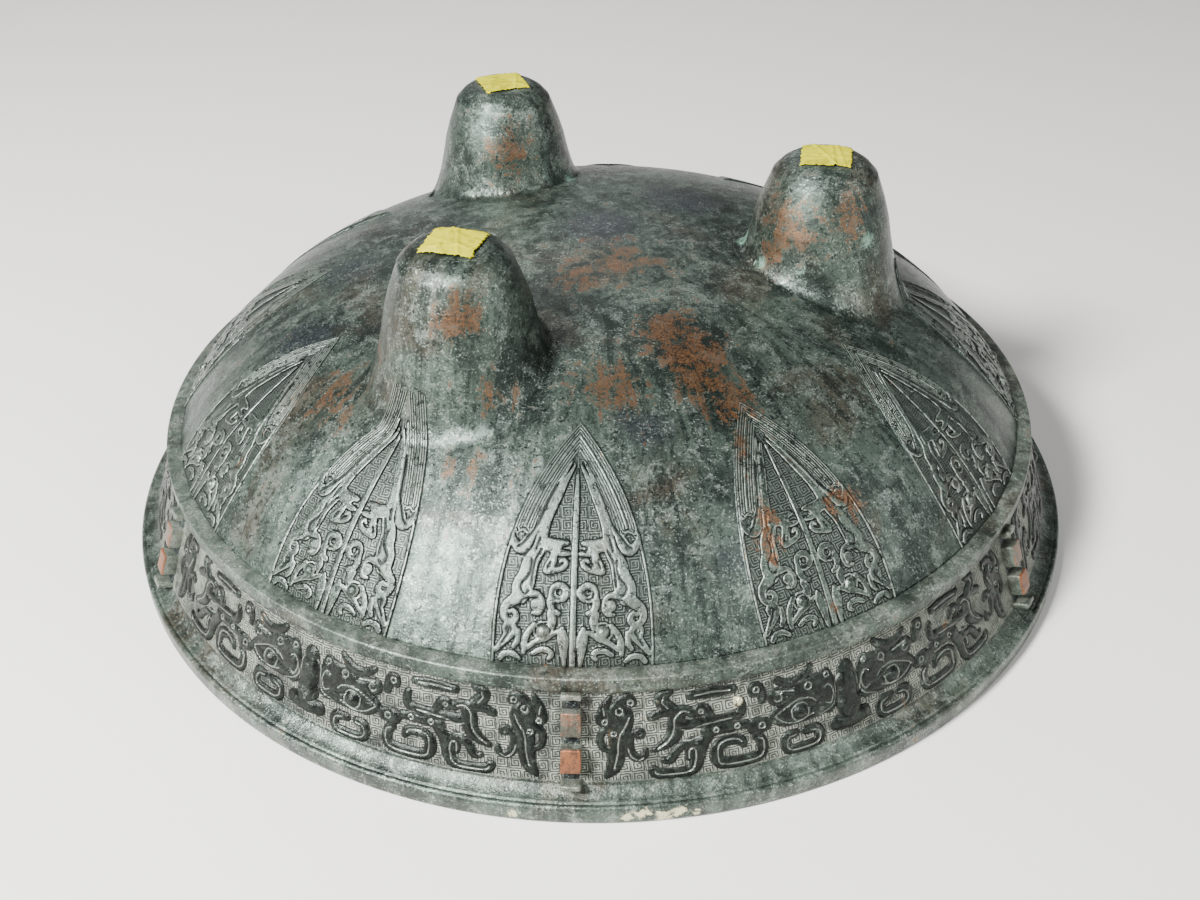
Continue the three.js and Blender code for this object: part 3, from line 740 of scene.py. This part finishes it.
friezeCuts = [
    [(13.5, 13.6), (7.2, 16.4), (5.4, 21), (4.8, 25.6), (3, 28.6)],
    [(32.5, 18.6), (28, 15.2), (22, 14), (16.4, 16)],
    [(32, 19.2), (28, 21.4), (22.4, 23.6), (17, 22.8), (14.6, 20.6)],
    [(10.4, 18.6), (8.4, 17.7), (7, 19.8), (6.8, 23), (8.5, 26), (10.6, 25)],
    [(24, 9), (27.6, 8), (28.4, 4.6), (25.6, 2.8), (17.4, 2.8), (14.6, 4.6), (14.8, 8), (18.4, 9.2)],
    [(31.5, 29.5), (27, 28.3), (23.7, 27.7)],
    [(46.6, 11.8), (48.2, 13.4), (52.6, 13.8), (55.8, 12), (56.2, 6.4), (53.8, 3.8), (42, 3.6),
     (38.4, 5.6), (38, 10.6), (40, 12)],
    [(80.6, 4.6), (78.6, 3.1), (69, 2.9), (65.6, 5), (64.6, 10.6), (65.8, 12.8), (67.2, 11.6), (67.3, 8.6)],
    [(69, 16), (66, 16.2), (62.5, 17)],
    [(70, 21), (66, 19.8), (62, 21.5), (50, 22.8)],
    [(79, 14), (75, 17), (72.8, 21), (72.2, 26), (69.4, 28.6), (66.6, 27.8)],
    [(74.8, 30.6), (76.8, 33), (76, 35.4)],
    [(89.5, 28), (91.2, 24), (93.1, 20.8), (93.9, 16.8), (94.3, 11.7), (95.6, 6.6)],
    [(90.4, 15), (89.2, 11.6), (86.6, 9.6), (84.4, 10.6)], [(99.6, 32), (99, 28.6)],
    [(50, 34.4), (57, 34.8), (64, 34.4)],
    ring(17.5, 28, 1.5), ring(9, 30.3, 1.1), ring(38.2, 16.9, 1.3), ring(95.7, 21.2, 1.0),
    ring(99, 26, 1.0), ring(89, 33.8, 1.1), ring(93.4, 30.4, 1.3, 90, 300), ring(39.4, 32.2, 1.2),
    ring(30.6, 26.6, 1.6, 60, 280), ring(56.4, 18.8, 1.0), ring(48, 18.8, 1.0), ring(61.8, 27.4, 0.9),
]
friezeEyes = [(21.8, 18.3)]


# Signed distance inside the figures and distance to the incised lines, and the relief from both.
def relief(across, along, figures, cuts, look):
    inside = insideOf(figures, across, along, look["broad"])
    incised = np.full(across.shape, 9.0)
    for line in cuts:
        line = [(point[0], point[1], 0.0) for point in line]
        incised = np.minimum(incised, distanceTo(smoothLine(line), across, along))
    figure = smoothStep(-look["edge"] / 2, look["edge"] / 2, inside)
    height = figure * look["rise"] + look["dome"] * smoothStep(0, 2.4, inside)
    height -= look["cut"] * figure * (1 - smoothStep(look["cutWidth"] * 0.3, look["cutWidth"] * 1.6, incised))
    return inside, incised, height


def makeFrieze(name, centre):
    look = frieze
    half = math.pi / 6 * friezeMiddle
    across = np.linspace(-half, half, int(2 * half / look["step"]))
    along = np.linspace(-0.5, friezeSlant + 0.5, int(friezeSlant / look["step"]) + 2)
    across, along = np.meshgrid(across, along)
    side = np.abs(across)
    inside, incised, height = relief(side, along, list(friezeFigures.values()), friezeCuts, look)
    for eyeAcross, eyeAlong in friezeEyes:
        away = np.hypot(side - eyeAcross, along - eyeAlong)
        swell = np.sqrt(np.clip(1 - (away / look["eyeRadius"]) ** 2, 0, 1))
        height = np.maximum(height, look["rise"] * 0.6 + look["eyeRise"] * swell * (away < look["eyeRadius"]))
        height -= 0.5 * np.exp(-((away - look["eyeRadius"] - 0.6) / 0.5) ** 2)
        incised = np.minimum(incised, np.abs(away - look["eyeRadius"] - 0.6))
    nose = smoothStep(7.2, 4.4, side) * smoothStep(3.4, 6, along) * (1 - smoothStep(24, 34, along))
    height += look["noseRise"] * nose * smoothStep(0, 2, inside)
    margin = np.minimum(along, friezeSlant - along)
    height -= look["under"] * (1 - smoothStep(-0.4, look["margin"], margin))
    points, normals = friezeGround(centre, across, along)
    height = height + unevenness(points)
    points = points + normals * height[..., None]
    flat = points.reshape(-1, 3)
    numbers = np.arange(len(flat)).reshape(across.shape)
    pattern = np.stack([across, along, smoothStep(0.6, 1.6, margin)], -1)
    values = {"inside": inside.ravel(), "incised": incised.ravel(), "pattern": pattern.reshape(-1, 3)}
    values["pale"] = np.full(len(flat), look["pale"])
    values.update(patinaAt(flat))
    return makePiece(name, flat, gridFaces(numbers), values, carvedBronze, "vessel")


flangeCount = 6
for i in range(flangeCount):
    makeFrieze(f"frieze_{i + 1}", 2 * math.pi * (i + 0.5) / flangeCount)
print("frieze made")

# The blades, drawn for one half: across from the rib, along from the ridge to the tip.
blade = {
    "count": 12,
    "width": 62,
    "length": 98.7,
    "fullness": 2.25,
    "band": 7.5,  # width of the lined border
    "bandPitch": 1.0,  # twice the step between the columns, so that each line is a row of points
    "bandEnd": 52.5,  # the border's lines turn back on themselves at this height
    "lineRise": 0.75,
    "broad": 1.32,  # the figures are this much broader than their lines say
    "rise": 0.72,
    "edge": 0.4,
    "dome": 0.0,
    "cut": 0.5,
    "cutWidth": 0.4,
    "pale": 0.1,
    "rubbedAndSheen": (1.0, 0.2, 0.35, 0.35, 0.35, 0.35, 0.35, 0.35, 0.35, 0.35, 0.35, 0.4),  # how far each blade's figures are lightened: by rubbing, and on the first blade a painted sheen
    "eyeRise": 2.4,
    "eyeRadius": 2.6,
    "rows": 152,
    "reach": 104.5,  # the carved stretch of the bowl
    "fieldColumns": 39,
    "bandColumns": 15,
    "plainColumns": (0.25, 0.6, 1.3, 3),  # beside the outline, in millimetres
    "plainSteps": 6,
}
bladeFigures = {
    "rib": [(0, -1, 1.9), (0, 30, 1.8), (0, 60, 1.8), (0, 76.5, 0.8)],
    "innerBar": [(1.2, 78.6, 0.8), (4.7, 71.4, 1.8), (6.9, 65.4, 2), (9.8, 58, 2.2), (11.6, 52.6, 2.6),
                 (12.6, 48.6, 3.2)],
    "outerBar": [(2.4, 80.4, 0.8), (6.9, 71.2, 1.6), (9.8, 64.6, 1.8), (12.3, 58.4, 2), (14.4, 53.4, 2.2),
                 (17, 49, 2.4)],
    "horn": [(17, 49, 2.8), (19.2, 45, 3.4), (21.4, 43.8, 3.2), (23.6, 46.4, 2.2), (24.4, 49.6, 1.2)],
    "body": [(12.6, 48.6, 3.4), (14, 43.6, 3.8), (16.8, 38.6, 4.8), (17.8, 34, 5.2), (19.4, 29.6, 6.2),
             (20.4, 26, 5)],
    "tail": [(22.6, 24.2, 3.4), (26, 21.4, 2.4), (26.4, 17.6, 2.2), (23.8, 15.6, 2.1), (21.6, 17.4, 1.9),
             (22.4, 19.8, 1.6), (24.2, 19.4, 1.3)],
    "claw": [(16.4, 27, 2.4), (13.6, 27, 1.6), (11.8, 25, 1.4), (11.6, 21.8, 1.3), (13, 19.8, 1.3),
             (15.4, 19.8, 1.1)],
    "ball": [(14.1, 22.9, 3.4)],
    "spiral": ring(5.4, 28, 2.7, -80, 320, 2.1),
    "neck": [(8.2, 26.4, 2.2), (8.7, 24, 2.2), (7.8, 21.4, 2), (5.6, 20.2, 1.6)],
    "head": [(4.8, 46.8, 2), (8.4, 45.8, 4), (12.4, 46.6, 4)],
    "lip": [(2.2, 42.8, 1.3), (5.2, 43, 2), (8, 44, 2.4)],
    "snout": [(3, 46.9, 1.5), (6, 46.8, 2.4)],
    "jaw": [(7.8, 43, 1.8), (8.4, 40, 2.6), (9.6, 37.4, 2.8), (10.4, 35.8, 2), (7, 36.4, 1.8),
            (4.2, 37.4, 1.6), (3, 39.2, 1.4), (4.2, 40.6, 1.2), (5.4, 39.6, 1)],
    "ear": [(9, 20, 1.6), (7.9, 17.8, 2.6), (8, 15.2, 2)],
    "leaf": [(3, 0.6, 1.2), (3.4, 6, 2.4), (3.8, 11, 3.2), (4, 14.6, 1.4)],
    "cheek": [(14.6, 15.6, 1.5), (17.2, 12, 1.9), (18.4, 8, 1.9), (18.6, 4.6, 1.4)],
    "muzzle": [(17.2, 6.6, 1.4), (14, 9, 1.6), (9.4, 11.2, 1.6), (5.8, 13.4, 1.2)],
    "chin": [(15, 4.6, 1.4), (12, 6.2, 1.8), (9, 6, 1.8), (7.8, 4.4, 1.6), (9, 3, 1.3)],
    "foot": [(27.6, 1.6, 1.6), (25.8, 3.6, 1.8), (22.6, 3.8, 1.8), (20.2, 2.2, 1.4)],
    "comma": [(24, 13, 4.6), (24.4, 10.8, 3), (26.6, 8, 2.2), (29.2, 4.6, 1.4)],
    "slip": [(20.6, 12.8, 1.4), (21, 9, 1.7), (22.4, 6.6, 1.4)],
}
bladeCuts = [
    [(16.2, 40), (16.2, 36.4), (17.6, 33), (19.6, 30.8), (20, 28.4), (18.6, 26.6), (17.2, 27.6)],
    [(5.6, 28.4), (7, 28.8), (7.6, 27.4), (6.8, 25.8), (5, 25.6)],
    [(7.4, 71), (10.2, 64.8), (12.6, 58.6), (14.6, 53.6), (17.4, 49.4), (19.8, 46), (21.8, 44.4)],
    [(12.4, 44), (14.8, 39.6), (15.6, 35), (16, 30)], [(17, 25.4), (19.4, 24), (20.8, 21)],
    [(9, 39.4), (10, 37.2)], [(24, 13.4), (24.6, 11), (26.8, 7.6)],
    [(13.2, 48.4), (14.6, 44)], ring(24.4, 12.8, 0.9),
]
bladeEyes = [(11.3, 13.2)]


def bladeHalf(along):
    fallen = np.clip(along, 0, blade["length"]) / blade["length"]
    return blade["width"] / 2 * (1 - fallen ** blade["fullness"])


# Relief of a blade, from the distance across and along it, and the values that the finish reads.
def bladeRelief(across, along):
    look = blade
    slope = look["width"] / 2 * look["fullness"] / look["length"] * (
        np.clip(along, 0, look["length"]) / look["length"]) ** (look["fullness"] - 1)
    within = (bladeHalf(along) - across) / np.sqrt(1 + slope ** 2)
    past = -np.hypot(across, along - look["length"])
    within = np.where(along > look["length"], past, within)
    inside, incised, height = relief(across, along, list(bladeFigures.values()), bladeCuts, look)
    for eyeAcross, eyeAlong in bladeEyes:
        away = np.hypot(across - eyeAcross, along - eyeAlong)
        swell = np.sqrt(np.clip(1 - (away / look["eyeRadius"]) ** 2, 0, 1))
        height = np.maximum(height, look["eyeRise"] * swell)
        inside = np.maximum(inside, look["eyeRadius"] - away)
        inside = np.maximum(inside, 0.5 - np.abs(away - look["eyeRadius"] - 0.9))
    half = look["band"] / 2
    below = np.minimum(along - look["bandEnd"], 0)
    away = np.hypot(within - half, below)  # the band's lines run round its lower end
    inBand = smoothStep(half + 0.2, half - 0.2, away)
    lines = 0.5 + 0.5 * np.cos(2 * math.pi * (away / look["bandPitch"] - 0.25))
    lined = np.maximum(height * (1 - inBand), look["lineRise"] * lines * inBand)
    height = np.where(inBand > 0, lined, height)
    thin = np.exp(-((within - 0.6) / 0.4) ** 2) * (1 - inBand)
    height = np.maximum(height, look["lineRise"] * thin)
    inside = np.where(inBand > 0.3, (lines - 0.4) * 1.2, np.maximum(inside, 0.5 - np.abs(within - 0.6)))
    step = smoothStep(-0.35, 0.25, within)
    return inside, incised, height * step, within


def makeBlade(name, centre, rubbedAndSheen):
    look = blade
    along = np.concatenate([[-0.6], np.linspace(0, look["reach"], look["rows"])])
    half = bladeHalf(along)[:, None]
    share = np.clip(along, 0, look["length"])[:, None] / look["length"]
    slope = look["width"] / 2 * look["fullness"] / look["length"] * share ** (look["fullness"] - 1)
    tilt = np.sqrt(1 + slope ** 2)
    field = np.maximum(half - look["band"] * tilt, 0) * np.linspace(0, 1, look["fieldColumns"])[:-1]
    bandSteps = np.linspace(look["band"], 0, look["bandColumns"] + 1)
    band = np.maximum(half - bandSteps * tilt, 0)
    edge = bowlAt(along)[0][:, None] * math.pi / look["count"]
    beside = half + np.array(look["plainColumns"]) * tilt
    last = beside[:, -1:]
    plain = last + (edge - last) * np.linspace(0, 1, look["plainSteps"] + 1)[1:]
    side = np.hstack([field, band, beside, plain])
    columns = side.shape[1]
    across = np.hstack([-side[:, :0:-1], side])
    rows = np.repeat(along[:, None], across.shape[1], 1)
    numbers = np.arange(across.size).reshape(across.shape)
    middle = numbers[:, columns - 1:columns]
    numbers = np.where(np.abs(across) < 1e-6, middle, numbers)
    inside, incised, height, within = bladeRelief(np.abs(across), rows)
    azimuth = centre + across / bowlAt(rows)[0]
    points, normals = bowlGround(azimuth, rows)
    height = height + unevenness(points)
    height -= 1.4 * (rows < 0) + 0.08 * (rows > look["reach"] - 0.1)
    points = points + normals * height[..., None]
    flat = points.reshape(-1, 3)
    covered = np.zeros(len(flat), bool)
    for axisX, axisY in legAxes:
        covered |= np.hypot(flat[:, 0] - axisX, flat[:, 1] - axisY) < legs["cutReach"]
    used, faces = tidyNumbers(gridFaces(numbers, covered), len(flat))
    lined = smoothStep(0.3, 1.2, within) * (1 - smoothStep(66, 76, rows) * smoothStep(8.6, 7.4, within))
    inside = np.where(within < -0.2, 3.0, inside)
    pattern = np.stack([across, rows, lined], -1)
    values = {"inside": inside.ravel()[used], "incised": incised.ravel()[used]}
    values["pattern"] = pattern.reshape(-1, 3)[used]
    values["bare"] = smoothStep(0.1, -0.5, within).ravel()[used]
    values["pale"] = (look["pale"] * smoothStep(-0.5, 0.1, within)).ravel()[used]
    values["rubbedAndSheen"] = np.full(used.sum(), rubbedAndSheen)
    values.update(patinaAt(flat[used]))
    return makePiece(name, flat[used], faces, values, carvedBronze, "vessel")


for i in range(blade["count"]):
    makeBlade(f"blade_{i + 1}", 2 * math.pi * i / blade["count"], blade["rubbedAndSheen"][i])
print("blades made")

# The bare top of the bowl, between the blades and the legs.
crown = {"start": 100.5, "meets": 104.4, "rings": 54, "sides": 320, "dip": 0.25}


def makeCrown():
    along = np.concatenate([[crown["start"]], np.linspace(crown["meets"], bowlEnd, crown["rings"])])
    azimuth = np.linspace(0, 2 * math.pi, crown["sides"], endpoint=False)
    rows, around = np.meshgrid(along, azimuth, indexing="ij")
    points, normals = bowlGround(around, rows)
    points = points + normals * (unevenness(points) - crown["dip"] * (rows < crown["meets"]))[..., None]
    flat = points.reshape(-1, 3)
    numbers = np.arange(len(flat)).reshape(rows.shape)
    numbers[-1] = numbers[-1, 0]
    numbers = np.hstack([numbers, numbers[:, :1]])
    covered = np.zeros(len(flat), bool)
    for axisX, axisY in legAxes:
        covered |= np.hypot(flat[:, 0] - axisX, flat[:, 1] - axisY) < legs["cutReach"]
    used, faces = tidyNumbers(gridFaces(numbers, covered), len(flat))
    values = patinaAt(flat[used])
    return makePiece("crown", flat[used], faces, values, plainBronze, "vessel")


makeCrown()


# A leg: rings spread evenly down its side, from the middle of the tip to past its root.
def makeLeg(name, axis):
    stretches = ((0, 14, 12), (14, 24, 22), (24, 33, 34), (33, legs["patchReach"], 12))
    reach = np.unique(np.concatenate([np.linspace(*stretch) for stretch in stretches]))
    angles = np.linspace(0, 2 * math.pi, legs["sides"], endpoint=False)
    away, turn = np.meshgrid(reach[::-1], angles, indexing="ij")
    x, y = axis[0] + away * np.cos(turn), axis[1] + away * np.sin(turn)
    normals = surfaceNormal(x, y)
    points = np.stack([x, y, surfaceHeight(x, y)], -1)
    margin = 0.05 - 0.4 * (away > legs["patchReach"] - 0.1)
    points = points + normals * (unevenness(points) + margin)[..., None]
    flat = points.reshape(-1, 3)
    numbers = np.arange(len(flat)).reshape(away.shape)
    numbers[-1] = numbers[-1, 0]
    numbers = np.hstack([numbers, numbers[:, :1]])
    used, faces = tidyNumbers(gridFaces(numbers), len(flat))
    return makePiece(name, flat[used], faces, patinaAt(flat[used]), plainBronze, "vessel")


for i, axis in enumerate(legAxes):
    makeLeg(f"leg_{i + 1}", axis)
print("crown and legs made")

# A flange: a thin rib with blocks standing on it, their faces worn to bare copper red.
flange = {
    "thickness": 8,
    "ribThickness": 6.2,
    "foot": 8,
    "head": 6,
    "notch": 4.8,
    "halfBlock": 2.4,
    "notchFloor": 1.8,
    "round": 0.7,
    "pale": 0.5,
    "slotShade": 0.4,  # painted shade in the notches between the blocks
    "worn": (0, 0.3, 0.75, 0.6, 0.45),  # the rib and then the blocks from the lip up
}


# A block with rounded edges, from its two corners across, along and out.
def roundedBlock(low, high, radius, steps=3):
    low, high = np.array(low, float), np.array(high, float)
    made = bmesh.new()
    bmesh.ops.create_cube(made, size=1)
    for corner in made.verts:
        corner.co = Vector((low + high) / 2 + np.array(corner.co) * (high - low))
    bmesh.ops.bevel(made, geom=made.edges[:], offset=radius, segments=steps, affect="EDGES", profile=0.5)
    longEdges = [edge for edge in made.edges if edge.calc_length() > 2]
    bmesh.ops.subdivide_edges(made, edges=longEdges, cuts=2, use_grid_fill=True)
    made.verts.index_update()
    points = np.array([corner.co for corner in made.verts])
    faces = [[corner.index for corner in face.verts] for face in made.faces]
    made.free()
    return points, faces


def makeFlange(name, azimuth):
    look = flange
    block = (friezeSlant - 2 * look["halfBlock"] - 3 * look["notch"]) / 2
    half, ribHalf = look["thickness"] / 2, look["ribThickness"] / 2
    parts = [((-ribHalf, 0.1, -2), (ribHalf, friezeSlant - 0.1, look["notchFloor"]))]
    along = 0
    for length in (look["halfBlock"], block, block, look["halfBlock"]):
        parts.append(((-half, max(along, 0.1), -2), (half, min(along + length, friezeSlant), 0)))
        along += length + look["notch"]
    points, faces, wear = [], [], []
    for k, (low, high) in enumerate(parts):
        if k:
            middle = (low[1] + high[1]) / 2
            high = (high[0], high[1], look["foot"] + (look["head"] - look["foot"]) * middle / friezeSlant)
        made, sides = roundedBlock(low, high, look["round"])
        count = sum(len(p) for p in points)
        faces += [[number + count for number in face] for face in sides]
        points.append(made)
        wear.append(look["worn"][k] * smoothStep(high[2] - 1.5, high[2] - 0.4, made[:, 2]))
    local = np.vstack(points)
    wobble = np.sin(local @ np.array([(0.9, 1.3, 0.4), (0.5, 0.8, 1.7), (1.6, 0.3, 0.6)]) + azimuth * 9)
    local = local + wobble * 0.12
    ground, normals = friezeGround(azimuth, local[:, 0] * 0, local[:, 1])
    sideways = np.array([math.cos(azimuth), math.sin(azimuth), 0])
    flat = ground + normals * local[:, 2:3] + sideways * local[:, :1]
    values = patinaAt(flat)
    values["worn"] = np.concatenate(wear)
    onBlock = np.arange(len(flat)) >= len(points[0])
    # The rib, seen in the notches between the blocks, gets no crust and a dark slate tone: painted shade in
    # the notches.
    values["pale"] = look["pale"] * onBlock
    values["slate"] = np.maximum(values["slate"], look["slotShade"] * ~onBlock)
    return makePiece(name, flat, faces, values, plainBronze, "vessel")


for i in range(flangeCount):
    makeFlange(f"flange_{i + 1}", 2 * math.pi * i / flangeCount)
print("flanges made")

# Tape squares pressed on the leg tips.
tape = {
    "side": 22,
    "turns": (-12.4, -6.9, 22.4),
    "lift": 0.45,
    "thickness": 0.35,
    "crease": 0.5,
    "cells": 44,
    "fray": 0.3,
}


def makeTapeSquare(name, axis, turn, node, seed):
    look = tape
    random = np.random.default_rng(seed)
    grid = np.linspace(-look["side"] / 2, look["side"] / 2, look["cells"] + 1)
    x, y = np.meshgrid(grid, grid)
    edge = np.maximum(np.abs(x), np.abs(y)) > look["side"] / 2 - 0.01
    x = x + random.normal(0, look["fray"], x.shape) * edge
    y = y + random.normal(0, look["fray"], y.shape) * edge
    crease = np.zeros(x.shape)
    for _ in range(5):
        heading = random.uniform(0, math.pi)
        offset = random.uniform(-8, 8)
        away = x * math.cos(heading) + y * math.sin(heading) - offset
        crease += look["crease"] * np.exp(-(away / 0.7) ** 2) * random.uniform(0.3, 1)
    cosine, sine = math.cos(math.radians(turn)), math.sin(math.radians(turn))
    worldX = axis[0] + x * cosine - y * sine
    worldY = axis[1] + x * sine + y * cosine
    height = surfaceHeight(worldX, worldY) + look["lift"] + crease
    top = np.stack([worldX, worldY, height], -1).reshape(-1, 3)
    numbers = np.arange(len(top)).reshape(x.shape)
    piece = makePiece(name, top, gridFaces(numbers), {}, clothTape, node)
    thick = piece.modifiers.new("thickness", "SOLIDIFY")
    thick.thickness = look["thickness"] * metre
    thick.offset = 1
    return piece


for i, axis in enumerate(legAxes):
    makeTapeSquare(f"tape_{i + 1}", axis, tape["turns"][i], f"leg_pad_{i + 1}", 40 + i)
print("tape made")

# Studio: a pale floor and soft lights.
studio = {
    "floor": "#DAD8D3",
    "world": "#C9CDD2",
    "worldStrength": 0.18,
    "floorSide": 12,
    "keyWay": (-0.5, -0.52, 0.69),
    "keyAway": 1.7,
    "keySize": 0.38,
    "keyPower": 125,
    "fillWay": (0.76, -0.4, 0.52),
    "fillAway": 2.2,
    "fillSize": 1.2,
    "fillPower": 32,
    "backWay": (-0.2, 0.8, 0.6),
    "backPower": 9,
}


def makeFloor():
    material, tree = startMaterial("paleFloor")
    shader = addNode(tree, "BsdfPrincipled", {"Base Color": fromHex(studio["floor"]), "Roughness": 0.75})
    addNode(tree, "OutputMaterial", {"Surface": shader})
    half = studio["floorSide"] / 2
    mesh = bpy.data.meshes.new("floor")
    corners = [(-half, -half, 0), (half, -half, 0), (half, half, 0), (-half, half, 0)]
    mesh.from_pydata(corners, [], [(0, 1, 2, 3)])
    mesh.materials.append(material)
    floor = bpy.data.objects.new("floor", mesh)
    bpy.context.scene.collection.objects.link(floor)


def makeLight(name, way, away, size, power):
    data = bpy.data.lights.new(name, "AREA")
    data.size = size
    data.energy = power
    light = bpy.data.objects.new(name, data)
    way = Vector(way).normalized()
    light.location = way * away
    light.rotation_euler = way.to_track_quat("Z", "Y").to_euler()
    bpy.context.scene.collection.objects.link(light)


makeFloor()
makeLight("key", studio["keyWay"], studio["keyAway"], studio["keySize"], studio["keyPower"])
makeLight("fill", studio["fillWay"], studio["fillAway"], studio["fillSize"], studio["fillPower"])
makeLight("back", studio["backWay"], studio["fillAway"], studio["fillSize"], studio["backPower"])
world = bpy.data.worlds.new("studio")
bpy.context.scene.world = world
world.use_nodes = True
background = world.node_tree.nodes["Background"]
background.inputs["Color"].default_value = fromHex(studio["world"])
background.inputs["Strength"].default_value = studio["worldStrength"]
print("studio made")
